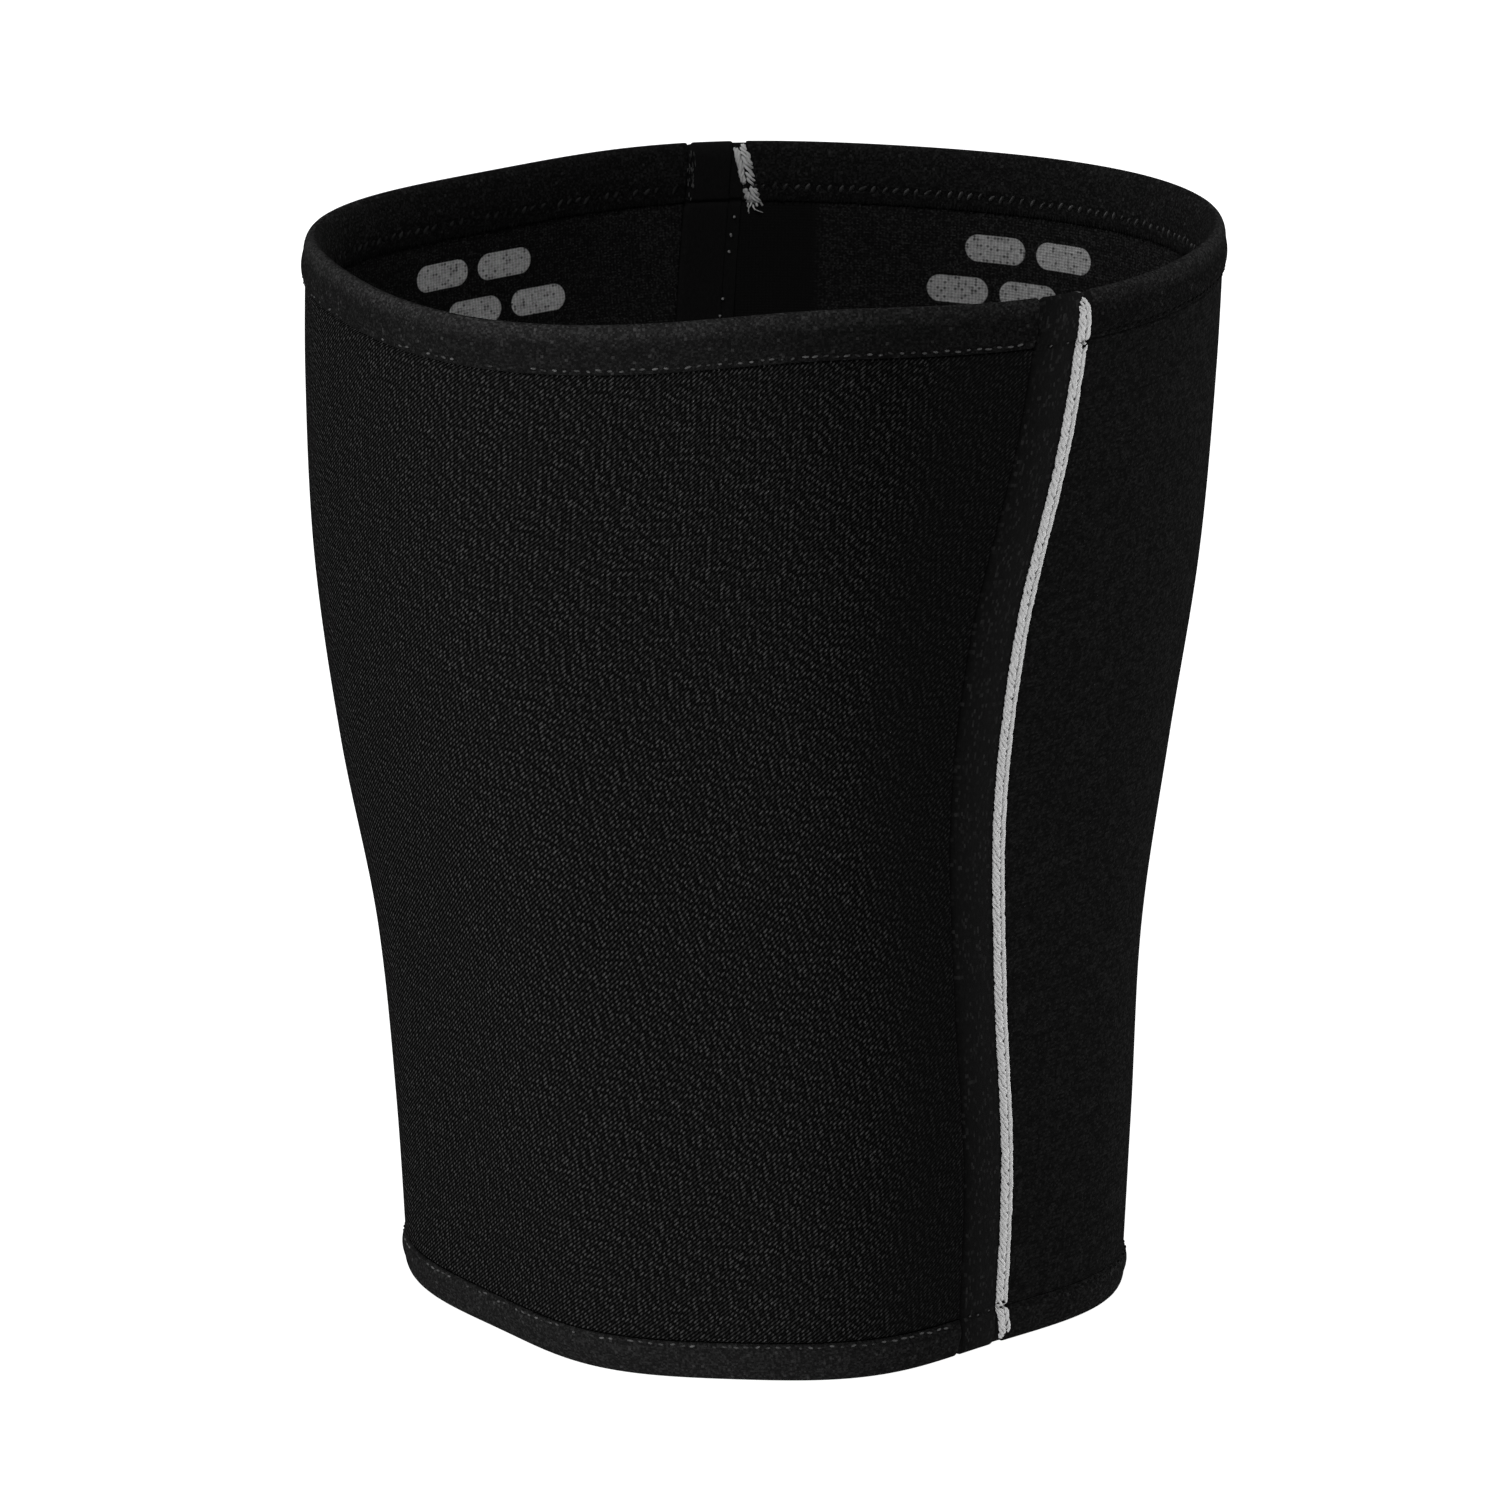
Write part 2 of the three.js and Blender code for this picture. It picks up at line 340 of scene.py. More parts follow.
def ribbed_knit():
    """Plain knit in slanted loops, with painted shade in the grooves and painted glints on the legs.

    A few loops get a strong painted glint. Toward the near seam, out of the key light, the painted shade
    and glints fade to an even dark tone.
    """
    knit = Finish("ribbed_knit", Specular_IOR_Level=0)
    across, up = knit.cut()
    drift = knit.noise(knit.joined(across, up), 0.1, 2)
    columns = across / WALE + drift * 0.5
    courses = up / COURSE + drift * 0.3
    rib = columns - courses
    ribs = rib.wave()
    column = columns.wave()
    height = ribs * 0.5 + column * 0.3 + (columns + courses).wave() * 0.2
    loop = knit.chance(columns, courses)
    lean = (columns.fraction() - 0.5) * (knit.chance(columns, courses + 91) - 0.5)
    first_leg_glint = knit.chance(rib + 0.5, columns)
    second = ((columns * 2).whole() * 0.5).fraction() * 2
    leg_glint = first_leg_glint + second * (1 - first_leg_glint * 2)
    # A few loops get a strong painted glint.
    rare_bright_speck = (loop - GLINT_SHARE).most(0) * 90
    # Out of the key light, toward the near seam, the painted shade and glints fade to an even dark tone.
    smooth = (across - up * KEY_SHADE_LEAN).ramp(KEY_SHADE_FROM, KEY_SHADE_TO)
    # Painted shade and glints: lighter on rib crests and column middles, darker in grooves, random
    # glints on legs.
    painted_shade_and_glints = ribs**1.4 * (0.4 + column * 0.6) * (0.3 + leg_glint * leg_glint * 2.05 + rare_bright_speck)
    light = 0.03 + painted_shade_and_glints * (1 - smooth * 0.6) + smooth * 0.11
    colour = knit.blend(light * 0.33, grey(0.0002), grey(0.055))
    return knit.dress(colour, height + lean, 0.5, 0.8)


PRINT_TOP = 214
PRINT_WIDE = 40
BAR_PITCH = 17
BAR_HALF = 4.2
BAR_ROUND = 2.9
ROW_PITCH = 9.4
PRINT_ROWS = 6


def lining(name, print_middle, bare_edge, cloth_light, ink_light):
    """Thin lining with a grey print, a patch of staggered rounded bars, and smooth past bare_edge."""
    cloth = Finish(name, Specular_IOR_Level=0)
    across, up = cloth.cut()
    columns = across / 0.8
    courses = up / 0.62
    weave = columns.wave() * 0.6 + courses.wave() * 0.4
    loop = cloth.chance(columns, courses)
    smooth = across.ramp(bare_edge - 1.5, bare_edge + 1.5)
    fibre = cloth.chance(columns * 2, courses * 2)
    speck = (0.6 + weave * 0.4) * (0.5 + fibre**3 * 1.6) * (1 - smooth) + smooth * 0.45
    black = cloth.blend(speck * 0.3, grey(0.0006), grey(cloth_light))
    rows_down = (PRINT_TOP - up) / ROW_PITCH
    stagger = (rows_down.whole() * 0.5).fraction() * BAR_PITCH
    bar_place = (across - print_middle + stagger) / BAR_PITCH
    bar_x = bar_place.fraction() * BAR_PITCH - BAR_PITCH / 2
    bar_middle = bar_place.whole() * BAR_PITCH + BAR_PITCH / 2 - stagger
    bar_y = rows_down.fraction() * ROW_PITCH - ROW_PITCH / 2
    beyond = (bar_x.size() - BAR_HALF).most(0)
    from_bar = (beyond * beyond + bar_y * bar_y) ** 0.5
    inside_patch = bar_middle.size().ramp(PRINT_WIDE / 2 + 1, PRINT_WIDE / 2)
    print_low = PRINT_TOP - PRINT_ROWS * ROW_PITCH
    in_rows = up.ramp(PRINT_TOP + 0.1, PRINT_TOP - 0.1) * up.ramp(print_low - 0.1, print_low + 0.1)
    bare = cloth.chance(columns + 37, courses).ramp(0.80, 0.9) * (1 - weave)
    in_bar = from_bar.ramp(BAR_ROUND + 0.15, BAR_ROUND - 0.15)
    ink = in_bar * inside_patch * in_rows * (1 - bare * 0.8)
    cover = weave * 0.4 + loop * 0.3 + fibre * 0.3
    paint = cloth.blend(cover, grey(ink_light * 0.3), grey(ink_light))
    colour = cloth.blend(ink, black, paint)
    return cloth.dress(colour, weave + ink * 0.3, 0.12, 0.8 - ink * 0.1)


PIPING_HALF = 1.35
SEAM_CLEAR = 0.12
GROOVE = 1.0
STRIP_WIDTH = 9.1
SEAM_ROLL = 0.55
HEM_PROUD = 0.4
TOP_HEM = {"outside": 10, "inside": 13}
BOTTOM_HEM = {"outside": 8.5, "inside": 11}
HEM_TUCK = 5
TUCK_DEPTH = 1.05
MAIN_STEPS = 168
PANEL_ROWS = 106
MAIN_SHOULDER = 1
LINING_SHOULDER = 0.4

panel_edge = PIPING_HALF + SEAM_CLEAR
strip_edge = panel_edge + STRIP_WIDTH
main_edge = strip_edge + GROOVE
main_span = (seam_line("far", main_edge), seam_line("near", -main_edge, 1))
rear_span = (seam_line("near", panel_edge), seam_line("far", -panel_edge))


def panel_rows(low, high, steps, shoulder):
    """Heights and depths up a panel's face, with round shoulders at the hems and edges tucked in."""
    share, offset, depth = rolled_edges(steps, shoulder)
    open_rows = low + share * (high - low) + offset
    z = np.concatenate([[low - HEM_TUCK, low - 0.5], open_rows, [high + 0.5, high + HEM_TUCK]])
    sink = np.concatenate([[TUCK_DEPTH, TUCK_DEPTH], depth, [TUCK_DEPTH, TUCK_DEPTH]])
    return z, sink


def panel_face(span, steps, side, shoulder):
    """Places a panel's outer face, or its lining when side is inside."""
    share, offset, edge_sink = rolled_edges(steps, SEAM_ROLL)
    z, row_sink = panel_rows(BOTTOM_HEM[side], HEIGHT - TOP_HEM[side], PANEL_ROWS, shoulder)
    start, end = span

    def place(column, row):
        if side == "inside":
            column = len(share) - 1 - column
        height = z[row]
        sink = np.maximum(edge_sink[column], row_sink[row])
        out = -sink if side == "outside" else sink - WALL
        girth = girth_at(height)
        first = start(height)
        last = end(height)
        at = first + share[column] * (last - first) + offset[column] / girth
        cut = np.stack([(at - (first + last) / 2) * girth, height], axis=1) / METRE
        return on_wall(height, at, out), cut

    return len(share), len(z), place


def make_panel(name, span, steps, shoulder, face_finish, lining_finish):
    face = lay_cloth(name, *panel_face(span, steps, "outside", shoulder))
    face.data.materials.append(face_finish)
    back = lay_cloth(name + "_lining", *panel_face(span, steps, "inside", LINING_SHOULDER))
    back.data.materials.append(lining_finish)
    panel = close_wall(face, back)
    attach(panel, "root")
    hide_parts(name)
    return panel


def flat_cut(span, low, high):
    """A panel's flat cut: its greatest width, its height and its area, in metres and square metres."""
    z = np.linspace(low, high, 200)
    width = (span[1](z) - span[0](z)) * girth_at(z) / METRE
    tall = (high - low) / METRE
    return (float(width.max()), tall), float(width.mean() * tall)


panel_low = BOTTOM_HEM["outside"] - HEM_TUCK
panel_high = HEIGHT - TOP_HEM["outside"] + HEM_TUCK
main_knit = ribbed_knit()
main_lining = lining("main_lining", print_middle=-104, bare_edge=400, cloth_light=0.037, ink_light=0.5)
main_panel = make_panel("main_panel", main_span, MAIN_STEPS, MAIN_SHOULDER, main_knit, main_lining)
main_flat, main_area = flat_cut(main_span, panel_low, panel_high)

# Rear panel: the narrower panel from the near seam round the right to the far seam. It is the same
# neoprene with a smoother jersey, which shows as fine level dashes.

REAR_STEPS = 104
REAR_SHOULDER = 0.35


def smooth_jersey():
    """Jersey in level courses of dashes, with a few lighter loops."""
    jersey = Finish("smooth_jersey", Specular_IOR_Level=0)
    across, up = jersey.cut()
    drift = jersey.noise(jersey.joined(across, up), 0.1, 2)
    courses = up / 0.72 + drift * 0.4
    course = courses.wave()
    dash = jersey.chance(across / 1.3 + courses.whole() * 0.37, courses)
    loop = jersey.chance(across / 0.5, up / 0.45)
    light = (0.45 + course * 0.1) * (0.45 + dash * dash * 0.5 + loop**3 * 1.3)
    colour = jersey.blend(light * 0.6, grey(0.0016), grey(0.0154))
    return jersey.dress(colour, course + dash * 0.4, 0.1, 0.8)


rear_knit = smooth_jersey()
rear_lining = lining("rear_lining", print_middle=38, bare_edge=87, cloth_light=0.034, ink_light=0.32)
rear_panel = make_panel("rear_panel", rear_span, REAR_STEPS, REAR_SHOULDER, rear_knit, rear_lining)
rear_flat, rear_area = flat_cut(rear_span, panel_low, panel_high)

# Hems: bands of finer black cloth folded over the rims, with their edges turned in. They are sewn
# through near the outer edge, and the stitches sit in a shallow channel.

HEM_CLOTH = 1.1
HEM_EDGE_CLOTH = 0.45
HEM_ROLL = 0.75
HEM_SIDE_ROLL = 0.6
RIM_ROUND = 3.6
PILLOW = 0.45
OUTER_STITCH = {"top": 8.9, "bottom": 7.9}
INNER_STITCH = {"top": 9.5, "bottom": 8}
STITCH_CHANNEL = 0.22
CHANNEL_HALF = 0.55


def channel(way, stitch):
    return STITCH_CHANNEL * np.exp(-(((way - stitch) / CHANNEL_HALF) ** 2))


def hem_path(hem, outer_stitch, inner_stitch):
    """A hem's section from outer edge over the rim to inner edge: way from the rim, distance out."""
    bend = np.linspace(0, math.pi / 2, 6)
    over = np.linspace(0, math.pi, 17)
    part = np.linspace(0, 1, 22)[1:-1]
    outer_end = hem["outside"] - HEM_ROLL
    inner_end = hem["inside"] - HEM_ROLL
    outer_way = outer_end + (RIM_ROUND - outer_end) * part
    inner_way = RIM_ROUND + (inner_end - RIM_ROUND) * part
    pillow = PILLOW * np.sin(math.pi * part)
    half = WALL / 2 + HEM_PROUD
    way = np.concatenate([
        outer_end + HEM_ROLL * np.cos(bend),
        outer_way,
        RIM_ROUND * (1 - np.sin(over)),
        inner_way,
        inner_end + HEM_ROLL * np.sin(bend),
    ])
    out = np.concatenate([
        HEM_PROUD - HEM_ROLL * (1 - np.sin(bend)),
        HEM_PROUD + pillow - channel(outer_way, outer_stitch),
        -WALL / 2 + half * np.cos(over),
        -WALL - HEM_PROUD - pillow + channel(inner_way, inner_stitch),
        -WALL - HEM_PROUD + HEM_ROLL * (1 - np.cos(bend)),
    ])
    return way, out


def path_directions(z, out):
    """For a section's points: how far along it each lies, and its outward direction."""
    run = np.stack([np.gradient(z), np.gradient(out)])
    run = run / np.hypot(*run)
    along = np.concatenate([[0], np.cumsum(np.hypot(np.diff(z), np.diff(out)))])
    return along, -run[1], run[0]


def path_skin(z, out, depth, span, steps, roll, turned=False, edge=1):
    """Places a skin along a section, carried along the girth and sunk to a depth at each point.

    edge is the part of the roll that the side edges keep, one number or one for each point.
    """
    share, offset, edge_sink = rolled_edges(steps, roll)
    edge = np.broadcast_to(edge, len(z))
    along, lean_z, lean_out = path_directions(z, out)
    start, end = span

    def place(column, row):
        if turned:
            column = len(share) - 1 - column
        first = start(z[row])
        last = end(z[row])
        girth = girth_at(z[row])
        at = first + share[column] * (last - first) + offset[column] / girth
        sink = depth[row] + edge_sink[column] * edge[row] * (depth[row] == 0)
        cut = np.stack([(at - (first + last) / 2) * girth, along[row]], axis=1) / METRE
        return on_wall(z[row] - sink * lean_z[row], at, out[row] - sink * lean_out[row]), cut

    return len(share), len(z), place


def fine_binding(fold):
    """Fine matte binding with a soft fleck, darker on the outer side, where a painted highlight grows
    toward the fold.
    """
    binding = Finish("fine_binding", Specular_IOR_Level=0)
    across, up = binding.cut()
    place = binding.joined(across, up)
    grain = binding.noise(place, 2.6, 3, 0.7)
    fleck = binding.chance(across / 0.46 + grain * 0.5, up / 0.42)
    cloud = binding.noise(place, 0.06, 3)
    rare_bright_speck = binding.chance(across / 0.6 + 53, up / 0.6).ramp(0.96, 1)
    outside = up.ramp(fold + 0.6, fold)
    # Painted highlight: the outer side grows lighter toward the fold on the rim's crest.
    painted_crest_highlight = up.ramp(fold - 5.5, fold + 0.3) * outside
    weave = (0.5 + grain.ramp(0.35, 0.7) * 0.6) * (0.5 + fleck * fleck * 1.1) * (0.8 + cloud * 0.4)
    light = weave * (0.88 - outside * 0.3 + painted_crest_highlight * 1.25) + rare_bright_speck
    colour = binding.blend(light * 0.3, grey(0.001), grey(0.032))
    return binding.dress(colour, grain * 0.7 + fleck * 0.2, 0.14, 0.8)


fold_way, fold_out = hem_path(TOP_HEM, OUTER_STITCH["top"], INNER_STITCH["top"])
hem_finish = fine_binding(path_directions(fold_way, fold_out)[0][np.argmin(fold_way)])


def make_hem(name, span, steps, hem, end):
    way, out = hem_path(hem, OUTER_STITCH[end], INNER_STITCH[end])
    from_edge = np.minimum(np.arange(len(way)), np.arange(len(way))[::-1])
    cloth = np.clip(HEM_EDGE_CLOTH + 0.08 * from_edge, 0, HEM_CLOTH)
    z = HEIGHT - way
    if end == "bottom":
        z, out, cloth = way[::-1], out[::-1], cloth[::-1]
    level = np.zeros(len(z))
    skin = lay_cloth(name, *path_skin(z, out, level, span, steps, HEM_SIDE_ROLL, edge=0.5))
    inner_skin = path_skin(z, out, cloth, span, steps, HEM_SIDE_ROLL, turned=True)
    back = lay_cloth(name + "_back", *inner_skin)
    skin.data.materials.append(hem_finish)
    back.data.materials.append(hem_finish)
    made = close_wall(skin, back)
    wide, _ = flat_cut(span, z.min(), z.max())
    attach(made, "root")
    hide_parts(name)
    name.split("_")[0] + "_panel"


for panel_name, span, steps in (("main", main_span, MAIN_STEPS), ("rear", rear_span, REAR_STEPS)):
    make_hem(panel_name + "_top_hem", span, steps, TOP_HEM, "top")
    make_hem(panel_name + "_bottom_hem", span, steps, BOTTOM_HEM, "bottom")

# Seam strips: bands of brushed black stretch cloth let in between the main panel and the piping. Each
# goes round both rims and back up the inside, with its edges turned down into the seam.

STRIP_CLOTH = 1.25
RIM_CLOTH = 0.6
RIM_REACH = 3
STRIP_ROLL = 0.65
STRIP_DITCH = 0.3
STRIP_STEPS = 8
FLANGE = 0.8
HEM_ZONE = 14


def strip_out(way, hem):
    """How far a strip stands out at a way from the rim: level with the hem, pressed at its edge."""
    level = np.clip((hem - 0.1 - way) / 0.8, 0, 1)
    level = level * level * (3 - 2 * level)
    return HEM_PROUD * level - STRIP_DITCH * np.exp(-(((way - hem) / 0.5) ** 2))


def strip_level(up, side):
    """How far a strip stands out from one side of the wall at heights up."""
    low = strip_out(up, BOTTOM_HEM[side])
    high = strip_out(HEIGHT - up, TOP_HEM[side])
    return np.where(up < HEIGHT / 2, low, high)


def ring_path():
    """The whole section of the wall from the middle of the inside, round both rims and back."""
    half = WALL / 2 + HEM_PROUD
    over = np.linspace(0, math.pi, 17)
    low = np.linspace(RIM_ROUND, HEM_ZONE, 30)
    high = HEIGHT - low[::-1]
    middle = np.linspace(HEM_ZONE, HEIGHT - HEM_ZONE, 82)[1:-1]
    up = np.concatenate([low, middle, high])[1:-1]
    middle_row = len(up) // 2
    outside = strip_level(up, "outside")
    inside = -WALL - strip_level(up, "inside")
    z = np.concatenate([
        up[middle_row::-1],
        RIM_ROUND * (1 - np.sin(over)),
        up,
        HEIGHT - RIM_ROUND * (1 - np.sin(over)),
        up[:middle_row - 1:-1],
    ])
    out = np.concatenate([
        inside[middle_row::-1],
        -WALL / 2 - half * np.cos(over),
        outside,
        -WALL / 2 + half * np.cos(over),
        inside[:middle_row - 1:-1],
    ])
    return z, out


def brushed_cloth(low_turn, high_turn):
    """Brushed with sparse upright flecks between the two rims' turns, lighter toward the piping.

    Past the turns, on the inside, it is plain.
    """
    brushed = Finish("brushed_cloth", Specular_IOR_Level=0)
    across, up = brushed.cut()
    nap = brushed.noise(brushed.joined(across, up * 0.4), 1.9, 4, 0.7)
    fleck = brushed.chance(across / 0.42, up / 0.8 + nap)
    outside = up.ramp(low_turn - 1, low_turn) * up.ramp(high_turn + 1, high_turn)
    brushed_light = (0.75 + nap.ramp(0.35, 0.7) * 0.3) * (0.68 + across * outside * 0.055)
    light = brushed_light + fleck**10 * outside * 1.3
    colour = brushed.blend(light * 0.4, grey(0.0014), grey(0.0213))
    return brushed.dress(colour, nap + fleck * 0.2, 0.2, 0.8)


strip_z, strip_face = ring_path()
strip_along = path_directions(strip_z, strip_face)[0]
low_turn = strip_along[np.argmin(strip_z)]
high_turn = strip_along[np.argmax(strip_z)]
past_low_hem = strip_along < low_turn - BOTTOM_HEM["inside"]
past_high_hem = strip_along > high_turn + TOP_HEM["inside"]
edge_kept = np.where(past_low_hem | past_high_hem, 0.15, 0.5)
near_rim = np.minimum(strip_z, HEIGHT - strip_z) < RIM_REACH
strip_thick = np.where(near_rim, RIM_CLOTH, STRIP_CLOTH)
strip_finish = brushed_cloth(low_turn, high_turn)
strip_spans = {
    "near_seam_strip": (seam_line("near", -strip_edge, 1), seam_line("near", -panel_edge, 1)),
    "far_seam_strip": (seam_line("far", panel_edge), seam_line("far", strip_edge)),
}
back_spans = {
    "near_seam_strip": (seam_line("near", -main_edge - FLANGE, 1), seam_line("near", -panel_edge, 1)),
    "far_seam_strip": (seam_line("far", panel_edge), seam_line("far", main_edge + FLANGE)),
}
for strip_name, span in strip_spans.items():
    z, out = strip_z, strip_face
    level = np.zeros(len(z))
    outer_skin = path_skin(z, out, level, span, STRIP_STEPS, STRIP_ROLL, edge=edge_kept)
    skin = lay_cloth(strip_name, *outer_skin)
    back_span = back_spans[strip_name]
    inner_skin = path_skin(z, out, strip_thick, back_span, STRIP_STEPS, STRIP_ROLL, turned=True)
    back = lay_cloth(strip_name + "_back", *inner_skin)
    skin.data.materials.append(strip_finish)
    back.data.materials.append(strip_finish)
    strip = close_wall(skin, back)
    bpy.ops.object.mode_set(mode="EDIT")
    bpy.ops.mesh.select_all(action="SELECT")
    bpy.ops.mesh.remove_doubles(threshold=1e-6)
    bpy.ops.object.mode_set(mode="OBJECT")
    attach(strip, "root")
    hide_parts(strip_name)

# Piping: a light grey flat braid beside each strip, as two ropes of twisted plies, one wider. It lies on
# a dark web in the seam, goes over both rims and ends a little way down the inside. The hems' stitches
# pinch it, and its ends fray.

WEB_DEPTH = 0.35
WEB_BACK = 1.35
WEB_STEPS = 4
WEB_ROLL = 0.2
PIPING_INSIDE = 16
FRAY = 4
PLIES = 4
PLY_SIDES = 8
PLY_STEP = 0.33
ROPES = (
    {"middle": -0.72, "lay": 0.46, "ply": 0.4, "lift": 0.2, "pitch": 5.4},
    {"middle": 0.75, "lay": 0.29, "ply": 0.3, "lift": 0.2, "pitch": -4.6},
)
PINCH = 0.55


def wander(along, seed):
    """A smooth irregular wave between about -1 and 1."""
    slow = np.sin(along * 0.53 + seed * 2.1)
    middling = np.sin(along * 1.37 + seed * 4.3)
    quick = np.sin(along * 3.1 + seed * 7.7)
    return (slow + middling + quick) / 2


def grey_yarn(shaded_from):
    """Light grey yarn with streaks of fibre, and painted shade past a way along the piping."""
    yarn = Finish("grey_yarn", Specular_IOR_Level=0.05)
    across, up = yarn.cut()
    fibre = yarn.noise(yarn.joined(across * 2.2 + up * 0.9, up * 0.5), 1.6, 3, 0.6)
    soil = yarn.noise(yarn.joined(across, up), 0.5, 3)
    # Painted shade: from the top rim's crest on, down the inside, the yarn is darker.
    painted_inside_shade = up.ramp(shaded_from - 2, shaded_from + 3)
    light = (fibre.ramp(0.3, 0.7) * 0.7 + soil * 0.3) * (1 - painted_inside_shade * 0.5)
    colour = yarn.blend(light - painted_inside_shade * 0.35, grey(0.375), grey(0.535))
    return yarn.dress(colour, fibre, 0.12, 0.7)


def path_place(z, out):
    """A function that places points by their way along a section and their lift from it."""
    along, lean_z, lean_out = path_directions(z, out)

    def place(way, lift):
        height = np.interp(way, along, z) + lift * np.interp(way, along, lean_z)
        return height, np.interp(way, along, out) + lift * np.interp(way, along, lean_out)

    return place


def mesh_piece(name, points, cut, faces, finish):
    """A piece from arrays of points, their flat cut, and faces of four corners each."""
    mesh = bpy.data.meshes.new(name)
    mesh.from_pydata(points, [], faces)
    corners = np.empty(len(mesh.loops), np.int32)
    mesh.loops.foreach_get("vertex_index", corners)
    mesh.uv_layers.new(name=CUT_MAP).uv.foreach_set("vector", cut[corners].astype(np.float32).ravel())
    mesh.materials.append(finish)
    piece = bpy.data.objects.new(name, mesh)
    bpy.context.collection.objects.link(piece)
    bpy.ops.object.select_all(action="DESELECT")
    piece.select_set(True)
    bpy.context.view_layer.objects.active = piece
    bpy.ops.object.shade_smooth()
    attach(piece, "root")
    return piece


def tube_faces(rings, sides, first=0):
    """Corner numbers of a tube of rings of points, closed at its ends by two tip points after them."""
    ring, side = np.meshgrid(np.arange(rings - 1), np.arange(sides), indexing="ij")
    low = first + ring * sides + side
    low_next = first + ring * sides + (side + 1) % sides
    walls = np.stack([low, low_next, low_next + sides, low + sides], axis=-1).reshape(-1, 4).tolist()
    near_tip = first + rings * sides
    top = first + (rings - 1) * sides
    near_end = [[first + (k + 1) % sides, first + k, near_tip] for k in range(sides)]
    far_end = [[top + k, top + (k + 1) % sides, near_tip + 1] for k in range(sides)]
    return walls + near_end + far_end


yarn_finish = grey_yarn(high_turn)


def make_piping(name, seam, top_lean, bottom_lean, inner_lean):
    """The braid of one seam and the web under it. The leans move it aside at the rims and inside."""
    z, out = strip_z, strip_face
    place = path_place(z, out)
    start = low_turn - PIPING_INSIDE
    end = high_turn + PIPING_INSIDE
    pinches = (
        low_turn + BOTTOM_HEM["outside"] + 1.2,
        high_turn - TOP_HEM["outside"] - 1.2,
        low_turn - 9,
        high_turn + 10.2,
    )
    points = []
    cuts = []
    faces = []
    count = 0
    for rope in ROPES:
        for ply in range(PLIES):
            seed = ply + 10 * rope["middle"]
            way = np.arange(start + wander(ply, seed), end + wander(ply, seed + 3), PLY_STEP)
            squeeze = sum(np.exp(-(((way - pinch) / PINCH) ** 2)) for pinch in pinches)
            tail = np.clip(np.maximum(start + FRAY - way, way - end + FRAY) / FRAY, 0, 1)
            from_rim = np.minimum(np.abs(way - low_turn), np.abs(way - high_turn))
            past_hem = (way < low_turn - 11) | (way > high_turn + 11)
            hem_part = np.clip((11 - from_rim) / 2, 0, 1) + past_hem
            crest = np.exp(-((from_rim / 3.5) ** 2))
            turn = 2 * math.pi * (way / rope["pitch"] + ply / PLIES) + 0.5 * wander(way, seed)
            past_rim = np.maximum(way - high_turn, low_turn - way).clip(0)
            loose = np.clip(past_rim / 3, 0, 1)
            thick = rope["ply"] * (1 + 0.12 * wander(way * 1.9, seed)) * (1 - 0.5 * squeeze)
            thick = thick * (1 - 0.6 * tail) * (1 + 0.2 * loose)
            lay = rope["lay"] * (1 - 0.4 * squeeze) * (1 + 0.2 * hem_part + 0.3 * loose + tail)
            at_top = top_lean * np.clip(1 - np.abs(way - high_turn) / 8, 0, 1) ** 2
            at_bottom = bottom_lean * np.clip(1 - np.abs(way - low_turn) / 10, 0, 1)
            lean = inner_lean * past_rim**1.2 + at_top + at_bottom
            fan = 1 + 0.08 * hem_part + 0.1 * loose
            middle = rope["middle"] * fan - lean + 0.07 * wander(way * 0.7, rope["middle"])
            lift = rope["lift"] - 0.4 * squeeze - 0.12 * hem_part - 0.9 * crest
            flat = 1 - 0.35 * hem_part - 0.2 * crest
            side = np.linspace(0, 2 * math.pi, PLY_SIDES, endpoint=False)
            across = (middle + lay * np.cos(turn))[:, None] + thick[:, None] * np.cos(side)
            above = (lift + flat * lay * np.sin(turn))[:, None] + (flat * thick)[:, None] * np.sin(side)
            ways = np.repeat(way[:, None], PLY_SIDES, axis=1)
            tip_across = np.array([across[0].mean(), across[-1].mean()])
            tip_above = np.array([above[0].mean(), above[-1].mean()])
            across = np.concatenate([across.ravel(), tip_across])
            above = np.concatenate([above.ravel(), tip_above])
            ways = np.concatenate([ways.ravel(), [way[0] - 0.1, way[-1] + 0.1]])
            height, depth = place(ways, above)
            share = wall_row(seam, np.clip(height, 0, HEIGHT)) + across / girth_at(height)
            points.append(on_wall(height, share, depth))
            round_way = np.concatenate([np.tile(side * rope["ply"], len(way)), [0, 0]])
            cuts.append(np.stack([round_way + ply * 3.1, ways], axis=1) / METRE)
            faces += tube_faces(len(way), PLY_SIDES, count)
            count += len(ways)
    piping = mesh_piece(name, np.concatenate(points), np.concatenate(cuts), faces, yarn_finish)
    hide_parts(name)
    span = (seam_line(seam, -PIPING_HALF), seam_line(seam, PIPING_HALF))
    outer_web = path_skin(z, out, np.full(len(z), WEB_DEPTH), span, WEB_STEPS, WEB_ROLL)
    web_skin = lay_cloth(name + "_web", *outer_web)
    span = (seam_line(seam, -PIPING_HALF - FLANGE), seam_line(seam, PIPING_HALF + FLANGE))
    inner_web = path_skin(z, out, np.full(len(z), WEB_BACK), span, WEB_STEPS, WEB_ROLL, turned=True)
    web_back = lay_cloth(name + "_web_back", *inner_web)
    web_skin.data.materials.append(strip_finish)
    web_back.data.materials.append(strip_finish)
    web = close_wall(web_skin, web_back)
    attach(web, "root")


make_piping("near_piping", "near", top_lean=2.6, bottom_lean=-2.2, inner_lean=0)
make_piping("far_piping", "far", top_lean=-0.2, bottom_lean=0, inner_lean=0.17)

# Stitches: lock stitches of grey thread along the outside of the hems, and inside slanted beads with
# loops between them and a fringe at the hem's edge. Small dots follow each seam inside, dark threads
# pinch the piping and tie its tails, and lint clings to the strips' inner edges.

